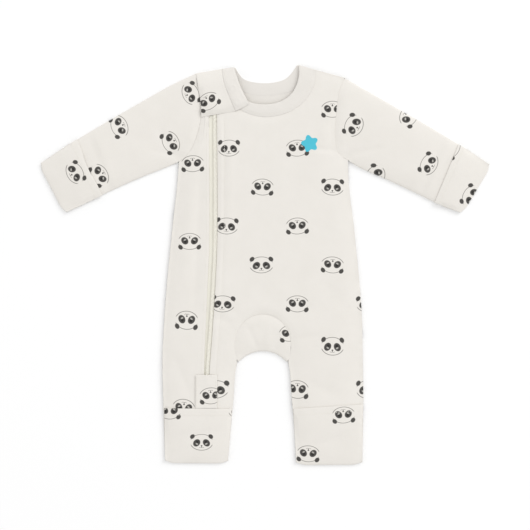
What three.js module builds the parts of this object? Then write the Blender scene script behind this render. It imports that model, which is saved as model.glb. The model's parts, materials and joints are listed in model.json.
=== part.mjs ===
// A baby romper with turn-over cuffs, snapped at one shoulder and zipped down one side, laid flat.
// Millimetres. +X is to the right as one looks down on it, +Y runs from the feet to the neck, +Z is up.
// The origin is the middle of its outline, on the surface that it lies on.
import * as THREE from 'three';

// Driving dimensions.
const cloth = 1.2; // wall of the cotton interlock
const seamGap = 0.3; // between neighbours at a seam
const puff = 3.2; // how far the front stands above its own edges
const foldRound = 12; // how quickly it rises from an edge
const neckSag = 1.1; // how far the front drops at the open neck
const neckSagReach = 16;
const bandProud = 0.3; // the folded neck band stands above the front
const frontUnder = cloth + seamGap; // underside of the front where it lies on the back
const edgeTop = frontUnder + cloth;
const hemY = -199; // where both legs end, inside the foot covers

// Side edges of the body and legs, from the hem up to the underarm.
const sides = [
  { y: -260, left: -129.5, right: 126.5 },
  { y: -199, left: -131.5, right: 127.4 },
  { y: -174, left: -132.2, right: 127.8 },
  { y: -122, left: -133.2, right: 126.8 },
  { y: -70, left: -130.7, right: 126.1 },
  { y: -18, left: -126.8, right: 122.2 },
  { y: 34, left: -121.6, right: 117.0 },
  { y: 65, left: -118.6, right: 113.8 },
  { y: 96, left: -114.6, right: 109.2 },
  { y: 135, left: -111.8, right: 107.9 },
];

// The edges on each side of the zip: side is the narrow side front, main is the wide front.
const zipEdges = [
  { y: -199, side: -80.2, main: -74.0 },
  { y: -142, side: -79.3, main: -72.2 },
  { y: -129, side: -79.0, main: -71.4 },
  { y: -83, side: -77.0, main: -67.9 },
  { y: -44, side: -75.4, main: -65.4 },
  { y: 34, side: -72.4, main: -61.9 },
  { y: 195, side: -72.8, main: -62.4 },
  { y: 240, side: -72.8, main: -62.4 },
];

// Armhole seams, from the underarm up to the shoulder tip.
const armholes = [
  { leftX: -111.8, leftY: 133.9, rightX: 107.9, rightY: 135.9 },
  { leftX: -100.0, leftY: 143.7, rightX: 95.6, rightY: 143.5 },
  { leftX: -91.6, leftY: 158.6, rightX: 91.6, rightY: 157.0 },
  { leftX: -85.8, leftY: 176.8, rightX: 90.9, rightY: 175.0 },
  { leftX: -82.8, leftY: 192.0, rightX: 92.0, rightY: 193.0 },
  { leftX: -83.2, leftY: 209.3, rightX: 93.9, rightY: 211.9 },
  { leftX: -86.5, leftY: 228.8, rightX: 97.0, rightY: 229.0 },
  { leftX: -89.7, leftY: 249.0, rightX: 103.4, rightY: 243.1 },
];

// Sleeve sections after the armhole: the lower and upper edge of each. The last is the end of the sleeve.
const leftSleeve = [
  { lowX: -126.1, lowY: 127.4, topX: -119.6, topY: 235.3 },
  { lowX: -144.3, lowY: 120.3, topX: -150.8, topY: 217.8 },
  { lowX: -165.1, lowY: 111.8, topX: -182.0, topY: 199.8 },
  { lowX: -187.0, lowY: 102.2, topX: -213.2, topY: 181.8 },
  { lowX: -211.2, lowY: 90.8, topX: -243.6, topY: 163.6 },
  { lowX: -222.4, lowY: 85.3, topX: -254.6, topY: 157.2 },
];
const rightSleeve = [
  { lowX: 124.0, lowY: 125.5, topX: 128.0, topY: 229.0 },
  { lowX: 148.0, lowY: 115.3, topX: 158.6, topY: 211.3 },
  { lowX: 172.0, lowY: 104.4, topX: 190.0, topY: 193.3 },
  { lowX: 197.0, lowY: 92.6, topX: 221.0, topY: 175.3 },
  { lowX: 219.7, lowY: 81.4, topX: 250.9, topY: 157.2 },
  { lowX: 231.0, lowY: 76.3, topX: 261.8, topY: 150.6 },
];

// Folded ends of the four turn-over covers, and the mouth of each where it lies on the sleeve or leg.
const covers = {
  mitt_left: {
    endLow: [-261.3, 67.4],
    endTop: [-294.0, 130.2],
    mouthLow: [-211.4, 90.5],
    mouthTop: [-244.0, 163.2],
  },
  mitt_right: {
    endLow: [257.2, 67.2],
    endTop: [294.0, 128.6],
    mouthLow: [219.9, 81.1],
    mouthTop: [251.3, 156.8],
  },
  foot_cover_left: {
    endLow: [-48.6, -258.0],
    endTop: [-129.4, -257.4],
    mouthLow: [-42.9, -186.5],
    mouthTop: [-130.8, -186.0],
  },
  foot_cover_right: {
    endLow: [126.2, -259.6],
    endTop: [41.0, -260.0],
    mouthLow: [126.6, -180.8],
    mouthTop: [36.9, -186.6],
  },
};
const coverCorner = 3.6; // taken off a cover's folded corners
const hemEase = { flat: 3, reach: 34 }; // over this distance a cover comes down from the hem that it covers

// Neck band on the front, from the right shoulder round to its end under the flap: free edge and seam.
const frontBand = [
  { edgeX: 43.6, edgeY: 260.0, seamX: 65.7, seamY: 253.4 },
  { edgeX: 44.4, edgeY: 249.0, seamX: 65.4, seamY: 240.5 },
  { edgeX: 42.3, edgeY: 237.5, seamX: 61.1, seamY: 227.8 },
  { edgeX: 36.6, edgeY: 225.2, seamX: 50.7, seamY: 211.9 },
  { edgeX: 27.3, edgeY: 216.0, seamX: 33.8, seamY: 199.8 },
  { edgeX: 15.6, edgeY: 210.4, seamX: 15.2, seamY: 193.6 },
  { edgeX: 1.3, edgeY: 208.4, seamX: -3.0, seamY: 192.2 },
  { edgeX: -11.7, edgeY: 209.3, seamX: -18.4, seamY: 195.6 },
  { edgeX: -24.0, edgeY: 213.5, seamX: -31.8, seamY: 201.6 },
  { edgeX: -32.8, edgeY: 222.5, seamX: -44.0, seamY: 211.5 },
  { edgeX: -38.0, edgeY: 234.0, seamX: -51.5, seamY: 226.0 },
];
const bandFlapRow = 8; // the row where the seam goes under the flap
const bandShoulderRow = 3; // the row where the front divides into neck and shoulder

// Neck band on the back, from the right shoulder round to the left one.
const backBand = [
  { edgeX: 41.6, edgeY: 259.6, seamX: 65.7, seamY: 253.4 },
  { edgeX: 34.0, edgeY: 248.5, seamX: 52.0, seamY: 236.0 },
  { edgeX: 24.7, edgeY: 240.6, seamX: 33.0, seamY: 225.2 },
  { edgeX: 10.4, edgeY: 236.8, seamX: 12.0, seamY: 220.6 },
  { edgeX: -3.9, edgeY: 236.2, seamX: -8.0, seamY: 220.2 },
  { edgeX: -18.2, edgeY: 238.0, seamX: -27.0, seamY: 224.4 },
  { edgeX: -29.9, edgeY: 243.0, seamX: -44.0, seamY: 235.0 },
  { edgeX: -38.6, edgeY: 256.4, seamX: -55.9, seamY: 254.8 },
];

// Neck band on the shoulder flap, from the shoulder down to the flap's tip.
const flapBand = [
  { edgeX: -40.3, edgeY: 257.0, seamX: -55.9, seamY: 254.8 },
  { edgeX: -36.4, edgeY: 244.4, seamX: -54.2, seamY: 241.8 },
  { edgeX: -31.0, edgeY: 229.0, seamX: -49.4, seamY: 225.8 },
  { edgeX: -20.4, edgeY: 208.4, seamX: -38.2, seamY: 199.6 },
];

// Crotch: the gusset's arched seam and the folded edge between the legs are both arcs of an ellipse.
const arch = { x: -3, y: -104, halfWidth: 37.3, height: 40.5, tip: -29 };
const crotch = { x: -3, y: -141, halfWidth: 36, height: 29, tip: 34 };
const archSpring = 45; // degrees, where the leg fronts meet the body front
const innerLegs = [
  { y: -260, left: -48.4, right: 41.2 },
  { y: -199, left: -43.4, right: 37.2 },
  { y: -174, left: -41.0, right: 34.9 },
  { y: -141, left: -39.0, right: 33.0 },
];

// Soft folds of the front: a trough where depth is negative, a ridge where it is positive.
const folds = [
  { fromX: 90, fromY: 156, toX: 68, toY: 152, depth: -0.5, width: 6 },
  { fromX: -88, fromY: 178, toX: -99, toY: 60, depth: 0.5, width: 9 },
  { fromX: -80, fromY: 120, toX: -86, toY: -70, depth: -0.5, width: 7 },
  { fromX: -50, fromY: 150, toX: -52, toY: -60, depth: 0.4, width: 7 },
  { fromX: -40, fromY: -76, toX: -96, toY: -50, depth: -0.4, width: 12 },
  { fromX: 34, fromY: -76, toX: 84, toY: -44, depth: -0.4, width: 12 },
  { fromX: -110, fromY: 150, toX: -170, toY: 166, depth: -0.5, width: 9 },
  { fromX: 108, fromY: 152, toX: 168, toY: 166, depth: -0.5, width: 9 },
  { fromX: 20, fromY: 120, toX: 70, toY: 20, depth: 0.35, width: 16 },
];

// Zip: the tapes lie under the two edges with the coil between them. The slider is under the flap.
const zipTop = 214;
const zipBottom = -150;
const tape = { wall: 1.0, underEdge: 7, beside: 2.9 };
const coil = { width: 4.4, height: 1.6, short: 3 }; // short of the tape at each end
const slider = { y: 206.5, width: 8, noseWidth: 5, length: 9, straight: 6.3, wall: 1.5 };
const garage = {
  left: -90.2,
  right: -62.1,
  top: -142.7,
  bottom: -186.0,
  lift: 0.9, // over the end of the coil
  liftWidth: 7,
  liftReach: 9,
};

// Snaps between the flap and the front, and how the flap lifts over what lies under it.
const snap = { radius: 3.8, wall: 1.0 };
const snaps = [
  { name: 'snap_upper', x: -41.6, y: 229.5 },
  { name: 'snap_lower', x: -35.0, y: 211.0 },
];
const flapLift = 1.0;
const shoulderRun = 12; // the flap comes down to the back over this distance from the shoulder seam
const flapBumps = [
  ...snaps.map(({ x, y }) => ({ x, y, rise: 1.7, reach: 11 })),
  { x: -65.3, y: slider.y, rise: 2.1, reach: 13 },
];

// Number of steps along each kind of line.
const steps = {
  perRow: 2, // between two rows of a curve's table
  zipToNeck: 4,
  neck: 10,
  shoulder: 7,
  leg: 7,
  archSide: 5,
  crotch: 12,
  belowArm: 14,
  besideZip: 26,
  acrossSide: 5,
  backEdge: 12,
  backLeg: 4,
  coverWidth: 10,
  acrossFlap: 7,
  acrossBand: 3,
  zipLength: 26,
  acrossTape: 2,
  garage: 8,
  snapRound: 16,
};
const foldSteps = { back: 2, nose: 4, front: 7, crowding: 1.3 };
const frontSeamRow = 5; // the armhole row where the front's shoulder begins

const romper = new THREE.Group();
const jersey = new THREE.MeshStandardMaterial({ color: '#eeebe4', roughness: 0.92, metalness: 0 });
const ribbing = new THREE.MeshStandardMaterial({ color: '#efece5', roughness: 0.92, metalness: 0 });
const tapeCloth = new THREE.MeshStandardMaterial({ color: '#e9e6d9', roughness: 0.85, metalness: 0 });
const nylon = new THREE.MeshStandardMaterial({ color: '#e6e2d2', roughness: 0.45, metalness: 0 });
const resin = new THREE.MeshStandardMaterial({ color: '#efeee9', roughness: 0.35, metalness: 0 });

// ---- plan curves ----

const lerp = THREE.MathUtils.lerp;
const between = (a, b, t) => [lerp(a[0], b[0], t), lerp(a[1], b[1], t)];
const shares = (count) => Array.from({ length: count + 1 }, (_, i) => i / count);
const rowBetween = (from, to, count) => shares(count).map((t) => between(from, to, t));

// The value of one column of a table at a height y, on a smooth curve through the rows.
function columnAt(table, column, y) {
  const rows = [...table].sort((a, b) => a.y - b.y);
  let i = 0;
  while (i < rows.length - 2 && y > rows[i + 1].y) i += 1;
  const slope = (k) => {
    const low = rows[Math.max(k - 1, 0)];
    const high = rows[Math.min(k + 1, rows.length - 1)];
    return (high[column] - low[column]) / (high.y - low.y);
  };
  const span = rows[i + 1].y - rows[i].y;
  const t = THREE.MathUtils.clamp((y - rows[i].y) / span, 0, 1);
  const change = rows[i + 1][column] - rows[i][column];
  const bend = (slope(i) * span - change) * (1 - t) - (slope(i + 1) * span - change) * t;
  return rows[i][column] + change * t + t * (1 - t) * bend;
}

// Points of a smooth curve through a table's rows, with the rows themselves among them.
function curveThrough(table, xColumn, yColumn, perRow) {
  const curve = new THREE.SplineCurve(table.map((row) => new THREE.Vector2(row[xColumn], row[yColumn])));
  return curve.getPoints((table.length - 1) * perRow).map((p) => [p.x, p.y]);
}

const ellipsePoint = (oval, degrees) => {
  const angle = THREE.MathUtils.degToRad(degrees);
  return [oval.x + oval.halfWidth * Math.cos(angle), oval.y + oval.height * Math.sin(angle)];
};
const ellipseRow = (oval, from, to, count) => shares(count).map((t) => ellipsePoint(oval, lerp(from, to, t)));

const armhole = {
  left: curveThrough(armholes, 'leftX', 'leftY', steps.perRow),
  right: curveThrough(armholes, 'rightX', 'rightY', steps.perRow),
};
const archRight = ellipseRow(arch, arch.tip, archSpring, steps.archSide);
const archTop = ellipseRow(arch, 180 - archSpring, archSpring, steps.neck);
const archLeft = ellipseRow(arch, 180 - arch.tip, 180 - archSpring, steps.archSide);

// Inner edge of a leg at height y, below the tip of the gusset.
function innerLeg(side, y) {
  if (y <= crotch.y) return columnAt(innerLegs, side, y);
  const reach = crotch.halfWidth * Math.sqrt(1 - ((y - crotch.y) / crotch.height) ** 2);
  return side === 'left' ? crotch.x - reach : crotch.x + reach;
}

// ---- height of the draped front ----

const neckCorner = (table) => [table[0].edgeX, table[0].edgeY];
const sleeveEdge = (table, end) => table.map((row) => [row[`${end}X`], row[`${end}Y`]]);
const outline = [
  [...sides.map((row) => [row.left, row.y]), ...sleeveEdge(leftSleeve, 'low'), covers.mitt_left.endLow],
  [...sides.map((row) => [row.right, row.y]), ...sleeveEdge(rightSleeve, 'low'), covers.mitt_right.endLow],
  [neckCorner(flapBand), armhole.left.at(-1), ...sleeveEdge(leftSleeve, 'top'), covers.mitt_left.endTop],
  [neckCorner(frontBand), armhole.right.at(-1), ...sleeveEdge(rightSleeve, 'top'), covers.mitt_right.endTop],
  [
    ...innerLegs.map((row) => [row.left, row.y]),
    ...ellipseRow(crotch, 180, 0, steps.crotch).slice(1, -1),
    ...[...innerLegs].reverse().map((row) => [row.right, row.y]),
  ],
  ...Object.values(covers).map((cover) => [cover.endLow, cover.endTop]),
];
const neckEdge = curveThrough(frontBand, 'edgeX', 'edgeY', 1);

function distanceToLine(line, x, y) {
  let nearest = Infinity;
  for (let i = 0; i < line.length - 1; i += 1) {
    const [ax, ay] = line[i];
    const [dx, dy] = [line[i + 1][0] - ax, line[i + 1][1] - ay];
    const t = THREE.MathUtils.clamp(((x - ax) * dx + (y - ay) * dy) / (dx * dx + dy * dy), 0, 1);
    nearest = Math.min(nearest, Math.hypot(x - ax - dx * t, y - ay - dy * t));
  }
  return nearest;
}

function foldHeight(x, y) {
  return folds.reduce((sum, fold) => {
    const away = distanceToLine([[fold.fromX, fold.fromY], [fold.toX, fold.toY]], x, y);
    return sum + fold.depth * Math.exp(-((away / fold.width) ** 2));
  }, 0);
}

// Top of the front layer: it rises softly from every folded or sewn edge and sags at the open neck.
function frontTop(x, y) {
  const awayFrom = (line) => 1 - Math.exp(-distanceToLine(line, x, y) / foldRound);
  const rise = outline.reduce((product, line) => product * awayFrom(line), 1);
  const sag = neckSag * Math.exp(-distanceToLine(neckEdge, x, y) / neckSagReach);
  return edgeTop + rise * (puff - sag + foldHeight(x, y));
}

function flapRise(x, y) {
  const run = THREE.MathUtils.smoothstep(distanceToLine(outline[2], x, y), 1, shoulderRun);
  const bumps = flapBumps.reduce((sum, bump) => {
    return sum + bump.rise * Math.exp(-((Math.hypot(x - bump.x, y - bump.y) / bump.reach) ** 2));
  }, 0);
  return lerp(-cloth, flapLift + bumps, run);
}

// ---- solids ----

function addMesh(name, geometry, material) {
  const mesh = new THREE.Mesh(geometry, material);
  mesh.name = name;
  romper.add(mesh);
}

// Six times the volume inside the faces, negative where they point in.
function facing(points, faces) {
  const [a, b, c] = [new THREE.Vector3(), new THREE.Vector3(), new THREE.Vector3()];
  return faces.reduce((sum, [i, j, k]) => {
    a.set(...points[i]);
    b.set(...points[j]);
    c.set(...points[k]);
    return sum + a.dot(b.cross(c));
  }, 0);
}

// Joins grids of points by their shared places: the places, the quads, and the edges that only one quad has.
function joinGrids(grids, placeOf) {
  const places = [];
  const known = new Map();
  const idOf = (point) => {
    const key = placeOf(point).map((v) => v.toFixed(3)).join(' ');
    if (!known.has(key)) known.set(key, places.push(point) - 1);
    return known.get(key);
  };
  const quads = [];
  for (const grid of grids) {
    for (let r = 0; r < grid.length - 1; r += 1) {
      for (let c = 0; c < grid[r].length - 1; c += 1) {
        quads.push([grid[r][c], grid[r][c + 1], grid[r + 1][c + 1], grid[r + 1][c]].map(idOf));
      }
    }
  }
  const edges = quads.flatMap((quad) => quad.map((from, i) => [from, quad[(i + 1) % 4]]));
  const used = new Set(edges.map(([from, to]) => `${from} ${to}`));
  return { places, quads, border: edges.filter(([from, to]) => !used.has(`${to} ${from}`)) };
}

// A closed cloth wall from grids of { outer, inner } points, turned so that its faces point out.
function clothWall(grids) {
  const { places, quads, border } = joinGrids(grids, (point) => point.outer);
  const count = places.length;
  const points = [...places.map((p) => p.outer), ...places.map((p) => p.inner)];
  const faces = [];
  for (const [a, b, c, d] of quads) {
    faces.push([a, b, c], [a, c, d], [a + count, c + count, b + count], [a + count, d + count, c + count]);
  }
  for (const [a, b] of border) faces.push([b, a, a + count], [b, a + count, b + count]);
  const turned = facing(points, faces) < 0;
  const geometry = new THREE.BufferGeometry();
  geometry.setAttribute('position', new THREE.Float32BufferAttribute(points.flat(), 3));
  geometry.setIndex(faces.flatMap(([a, b, c]) => (turned ? [a, c, b] : [a, b, c])));
  geometry.computeVertexNormals();
  return geometry;
}

const smallest = 0.1; // a shorter push has no clear direction

// Moves each border point of a plan in by half the gap at a seam.
function insetPlan({ places, border }) {
  const push = places.map(() => [0, 0]);
  const cross = (a, b) => a[0] * b[1] - b[0] * a[1];
  const area = border.reduce((sum, [from, to]) => sum + cross(places[from], places[to]), 0);
  for (const [from, to] of border) {
    const [dx, dy] = [places[to][0] - places[from][0], places[to][1] - places[from][1]];
    const length = Math.hypot(dx, dy) * Math.sign(area);
    for (const end of [from, to]) {
      push[end][0] -= dy / length;
      push[end][1] += dx / length;
    }
  }
  return places.map(([x, y], i) => {
    const length = Math.hypot(...push[i]);
    if (length < smallest) return [x, y];
    const move = seamGap / Math.max(length, 1) / length;
    return [x + push[i][0] * move, y + push[i][1] * move];
  });
}

// For plan grids, gives the function that takes one of their points to its place clear of the seams.
function insetGrids(grids) {
  const keyOf = (point) => point.map((v) => v.toFixed(3)).join(' ');
  const plan = joinGrids(grids, (point) => point);
  const moved = insetPlan(plan);
  const seats = new Map(plan.places.map((place, i) => [keyOf(place), moved[i]]));
  return (point) => seats.get(keyOf(point));
}

// A panel from plan grids, lying at topAt(x, y).
function panel(name, planGrids, topAt, wall, material) {
  const seated = insetGrids(planGrids);
  const lift = (point) => {
    const [x, y] = seated(point);
    const top = topAt(x, y);
    return { outer: [x, y, top], inner: [x, y, top - wall] };
  };
  addMesh(name, clothWall(planGrids.map((grid) => grid.map((row) => row.map(lift)))), material);
}

// One sheet that starts on the surface, folds over at fold and comes back on top to end.
// Each station gives those three plan points; topAt is the height of the upper layer.
function foldedSheet(name, stations, topAt) {
  const radius = edgeTop / 2;
  const inside = seamGap / 2;
  const grid = stations.map(({ start, fold, end }) => {
    const length = Math.hypot(fold[0] - start[0], fold[1] - start[1]);
    const way = [(fold[0] - start[0]) / length, (fold[1] - start[1]) / length];
    const along = (from, distance) => [from[0] + way[0] * distance, from[1] + way[1] * distance];
    const first = along(start, inside);
    const turn = along(fold, -radius);
    const last = along(end, inside);
    const line = [];
    for (let i = 0; i <= foldSteps.back; i += 1) {
      const [x, y] = between(first, turn, i / foldSteps.back);
      line.push({ outer: [x, y, 0], inner: [x, y, cloth] });
    }
    for (let i = 1; i < foldSteps.nose; i += 1) {
      const angle = lerp(-Math.PI / 2, Math.PI / 2, i / foldSteps.nose);
      const at = (r) => [...along(turn, r * Math.cos(angle)), radius + r * Math.sin(angle)];
      line.push({ outer: at(radius), inner: at(inside) });
    }
    for (let i = 0; i <= foldSteps.front; i += 1) {
      const [x, y] = between(turn, last, (i / foldSteps.front) ** foldSteps.crowding);
      const top = topAt(x, y);
      line.push({ outer: [x, y, top], inner: [x, y, top - cloth] });
    }
    return line;
  });
  addMesh(name, clothWall([grid]), jersey);
}

// ---- front of the body ----

const sideX = (side, y) => columnAt(sides, side, y);
const zipX = (side, y) => columnAt(zipEdges, side, y);
const legHeights = (count) => shares(count).map((t) => lerp(hemY, archRight[0][1], t));
const bandSeam = curveThrough(frontBand, 'seamX', 'seamY', steps.perRow);
const neckSeam = bandSeam.slice(bandShoulderRow * steps.perRow, bandFlapRow * steps.perRow + 1).reverse();
const shoulderSeam = bandSeam.slice(0, bandShoulderRow * steps.perRow + 1).reverse();
const lapSeam = bandSeam.slice(bandFlapRow * steps.perRow);

function wideFront() {
  const legRows = (edge) => [
    ...legHeights(steps.leg).slice(0, -1).map((y) => [innerLeg(edge, y), y]),
    ...(edge === 'left' ? archLeft : archRight),
  ];
  const leftLeg = legRows('left').map((p) => rowBetween([zipX('main', p[1]), p[1]], p, steps.zipToNeck));
  const rightLeg = legRows('right').map((p) => rowBetween(p, [sideX('right', p[1]), p[1]], steps.shoulder));

  const base = [...leftLeg.at(-1), ...archTop.slice(1, -1), ...rightLeg.at(-1)];
  const shoulderPoint = steps.perRow * frontSeamRow;
  const top = [
    ...rowBetween([zipX('main', neckSeam[0][1]), neckSeam[0][1]], neckSeam[0], steps.zipToNeck),
    ...neckSeam.slice(1, -1),
    ...rowBetween(neckSeam.at(-1), armhole.right[shoulderPoint], steps.shoulder),
  ];
  const belowArm = shares(steps.belowArm).map((t) => lerp(base.at(-1)[1], armhole.right[0][1], t));
  const rightEdge = [
    ...belowArm.slice(0, -1).map((y) => [sideX('right', y), y]),
    ...armhole.right.slice(0, shoulderPoint + 1),
  ];
  const baseSpan = base.at(-1)[0] - base[0][0];
  const topSpan = top.at(-1)[0] - top[0][0];
  const body = rightEdge.map(([edgeX, edgeY], r) => {
    const f = (edgeY - rightEdge[0][1]) / (rightEdge.at(-1)[1] - rightEdge[0][1]);
    if (r === 0) return base;
    if (r === rightEdge.length - 1) return top;
    return base.map((low, c) => {
      const high = top[c];
      const y = lerp(low[1], high[1], f);
      const share = lerp((low[0] - base[0][0]) / baseSpan, (high[0] - top[0][0]) / topSpan, f);
      const left = zipX('main', y);
      return c === base.length - 1 ? [edgeX, edgeY] : [lerp(left, edgeX, share), y];
    });
  });

  const shoulder = shoulderSeam.map((from, i) => {
    const at = (i / (shoulderSeam.length - 1)) * (armhole.right.length - 1 - shoulderPoint);
    const low = armhole.right[shoulderPoint + Math.floor(at)];
    const high = armhole.right[Math.min(shoulderPoint + Math.floor(at) + 1, armhole.right.length - 1)];
    return rowBetween(from, between(low, high, at % 1), steps.shoulder);
  });
  const underFlap = lapSeam.map((to) => rowBetween([zipX('main', to[1]), to[1]], to, steps.zipToNeck));
  panel('front_main', [leftLeg, rightLeg, body, shoulder, underFlap], frontTop, cloth, jersey);
}

function sideFront() {
  const lapPoint = steps.perRow * frontSeamRow;
  const belowArm = shares(steps.besideZip).map((t) => lerp(hemY, armhole.left[0][1], t));
  const leftEdge = [
    ...belowArm.slice(0, -1).map((y) => [sideX('left', y), y]),
    ...armhole.left.slice(0, lapPoint + 1),
  ];
  const rows = leftEdge.map((p) => rowBetween(p, [zipX('side', p[1]), p[1]], steps.acrossSide));
  panel('front_side', [rows], frontTop, cloth, jersey);
}

// ---- back of the body: one flat panel under everything ----

function backPanel() {
  const climb = (side) => shares(steps.backEdge).slice(0, -1)
    .map((t) => lerp(hemY, armhole[side][0][1], t))
    .map((y) => [sideX(side, y), y]);
  const inner = (side) => legHeights(steps.backLeg).slice(0, -1).map((y) => [innerLeg(side, y), y]);
  const loop = [
    ...climb('right'),
    ...armhole.right,
    ...curveThrough(backBand, 'seamX', 'seamY', steps.perRow),
    ...[...armhole.left].reverse(),
    ...climb('left').reverse(),
    ...inner('left'),
    ...archLeft,
    ...archTop.slice(1, -1),
    ...[...archRight].reverse(),
    ...inner('right').reverse(),
  ];
  const border = loop.map((_, i) => [i, (i + 1) % loop.length]);
  const points = insetPlan({ places: loop, border });
  const shape = new THREE.Shape(points.map(([x, y]) => new THREE.Vector2(x, y)));
  addMesh('back', new THREE.ExtrudeGeometry(shape, { depth: cloth, bevelEnabled: false }), jersey);
}

// ---- sleeves: flattened tubes, open at both ends ----

function sleeve(name, seam, sections) {
  const count = seam.length - 1;
  const first = { lowX: seam[0][0], lowY: seam[0][1], topX: seam.at(-1)[0], topY: seam.at(-1)[1] };
  const table = [first, ...sections];
  const low = curveThrough(table, 'lowX', 'lowY', steps.perRow);
  const top = curveThrough(table, 'topX', 'topY', steps.perRow);
  const plan = low.map((from, i) => Array.from({ length: count + 1 }, (_, k) => {
    const [x, y] = between(from, top[i], k / count);
    const onChord = between(seam[0], seam[count], k / count);
    const bow = (1 - i / (low.length - 1)) ** 3;
    return [x + (seam[k][0] - onChord[0]) * bow, y + (seam[k][1] - onChord[1]) * bow];
  }));
  const seated = insetGrids([plan]);
  const rings = plan.map((points) => {
    const row = points.map(seated);
    const edge = cloth / Math.hypot(row[count][0] - row[0][0], row[count][1] - row[0][1]);
    const onRow = (s) => {
      const k = Math.min(Math.floor(s * count), count - 1);
      return between(row[k], row[k + 1], s * count - k);
    };
    const pair = (k, heightOf, innerHeightOf) => {
      const inside = onRow(THREE.MathUtils.clamp(k / count, edge, 1 - edge));
      return { outer: [...row[k], heightOf(...row[k])], inner: [...inside, innerHeightOf(...inside)] };
    };
    const over = row.map((_, k) => pair(k, frontTop, (x, y) => frontTop(x, y) - cloth));
    const under = row.map((_, k) => pair(k, () => 0, () => cloth)).reverse();
    return [...over, ...under, over[0]];
  });
  addMesh(name, clothWall([rings]), jersey);
}

// ---- turn-over covers for hands and feet ----

// The mouth of the cover lies over the hem, so its upper layer stands one cloth higher there.
function turnOverCover(name, hem) {
  const cover = covers[name];
  const stations = shares(steps.coverWidth).map((s) => {
    const start = between(hem.low, hem.top, s);
    const straight = between(cover.endLow, cover.endTop, s);
    const cut = s > 0 && s < 1 ? 0 : coverCorner;
    const length = Math.hypot(straight[0] - start[0], straight[1] - start[1]);
    const fold = between(straight, start, cut / length);
    return { start, fold, end: between(cover.mouthLow, cover.mouthTop, s) };
  });
  const hemLine = [hem.low, hem.top];
  const endLine = [cover.endLow, cover.endTop];
  const reach = distanceToLine(endLine, ...between(hem.low, hem.top, 0.5));
  foldedSheet(name, stations, (x, y) => {
    const overHem = distanceToLine(endLine, x, y) > reach - hemEase.flat;
    const ease = 1 - THREE.MathUtils.smoothstep(distanceToLine(hemLine, x, y), hemEase.flat, hemEase.reach);
    return frontTop(x, y) + (seamGap + cloth) * (overHem ? 1 : ease);
  });
}

function gusset() {
  const seamPoints = [...archRight, ...[...archTop].reverse().slice(1, -1), ...[...archLeft].reverse()];
  const stations = seamPoints.map((p, i) => {
    const fold = ellipsePoint(crotch, lerp(crotch.tip, 180 - crotch.tip, i / (seamPoints.length - 1)));
    return { start: p, fold, end: p };
  });
  foldedSheet('crotch_gusset', stations.slice(1, -1), frontTop);
}

// ---- neck bands and shoulder flap ----

const bandWall = cloth + bandProud;

// A strip between the two curves of a table.
function strip(table) {
  const edge = curveThrough(table, 'edgeX', 'edgeY', steps.perRow);
  const seam = curveThrough(table, 'seamX', 'seamY', steps.perRow);
  return seam.map((p, i) => rowBetween(p, edge[i], steps.acrossBand));
}

function neckBands() {
  const onFront = (x, y) => frontTop(x, y) + bandProud;
  panel('neckband_front', [strip(frontBand)], onFront, bandWall, ribbing);
  panel('neckband_back', [strip(backBand)], () => cloth, cloth, ribbing);
  const onFlap = (x, y) => frontTop(x, y) + flapRise(x, y) + bandWall;
  panel('neckband_flap', [strip(flapBand)], onFlap, bandWall, ribbing);
}

function shoulderFlap() {
  const seamSide = curveThrough(flapBand, 'seamX', 'seamY', steps.perRow).reverse();
  const sleeveSide = armhole.left.slice(steps.perRow * (frontSeamRow - 1));
  const rows = seamSide.map((p, i) => rowBetween(sleeveSide[i], p, steps.acrossFlap));
  panel('shoulder_flap', [rows], (x, y) => frontTop(x, y) + flapRise(x, y) + cloth, cloth, jersey);
}

// ---- zip ----

const coilX = (y) => zipX('main', y) - tape.beside;

function zipStrip(name, { leftAt, rightAt, from, to }, topAt, wall, material) {
  const rows = shares(steps.zipLength).map((t) => lerp(from, to, t))
    .map((y) => rowBetween([leftAt(y), y], [rightAt(y), y], steps.acrossTape));
  panel(name, [rows], topAt, wall, material);
}

function zip() {
  const tapeTop = (x, y) => frontTop(x, y) - cloth - seamGap;
  const sideTape = { leftAt: (y) => zipX('side', y) - tape.underEdge, rightAt: coilX, from: zipBottom, to: zipTop };
  const mainTape = { leftAt: coilX, rightAt: (y) => zipX('main', y) + tape.underEdge, from: zipBottom, to: zipTop };
  zipStrip('zip_tape_side', sideTape, tapeTop, tape.wall, tapeCloth);
  zipStrip('zip_tape_main', mainTape, tapeTop, tape.wall, tapeCloth);

  const coilTop = (x, y) => tapeTop(x, y) + seamGap + coil.height;
  const teeth = {
    leftAt: (y) => coilX(y) - coil.width / 2,
    rightAt: (y) => coilX(y) + coil.width / 2,
    from: zipBottom + coil.short,
    to: zipTop - coil.short,
  };
  zipStrip('zip_coil', teeth, coilTop, coil.height, nylon);

  const { width, noseWidth, length, straight, wall } = slider;
  const halfOutline = [
    [width / 2, -length / 2],
    [width / 2, straight - length / 2],
    [noseWidth / 2, length / 2],
  ];
  const outlineOf = [...halfOutline, ...halfOutline.map(([x, y]) => [-x, y]).reverse()];
  const shape = new THREE.Shape(outlineOf.map(([x, y]) => new THREE.Vector2(x, y)));
  const body = new THREE.ExtrudeGeometry(shape, { depth: wall, bevelEnabled: false });
  const x = coilX(slider.y);
  body.translate(x, slider.y, coilTop(x, slider.y) + seamGap);
  addMesh('zip_slider', body, resin);
}

function zipGarage() {
  const middle = coilX(garage.top);
  const top = (x, y) => {
    const across = Math.exp(-(((x - middle) / garage.liftWidth) ** 2));
    const down = 1 - THREE.MathUtils.smoothstep(garage.top - y, garage.liftReach, 2 * garage.liftReach);
    return frontTop(x, y) + seamGap + garage.lift * across * down + cloth;
  };
  const rows = rowBetween([garage.left, garage.bottom], [garage.left, garage.top], steps.garage)
    .map(([x, y]) => rowBetween([x, y], [garage.right, y], steps.garage));
  panel('zip_garage', [rows], top, cloth, jersey);
}

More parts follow.
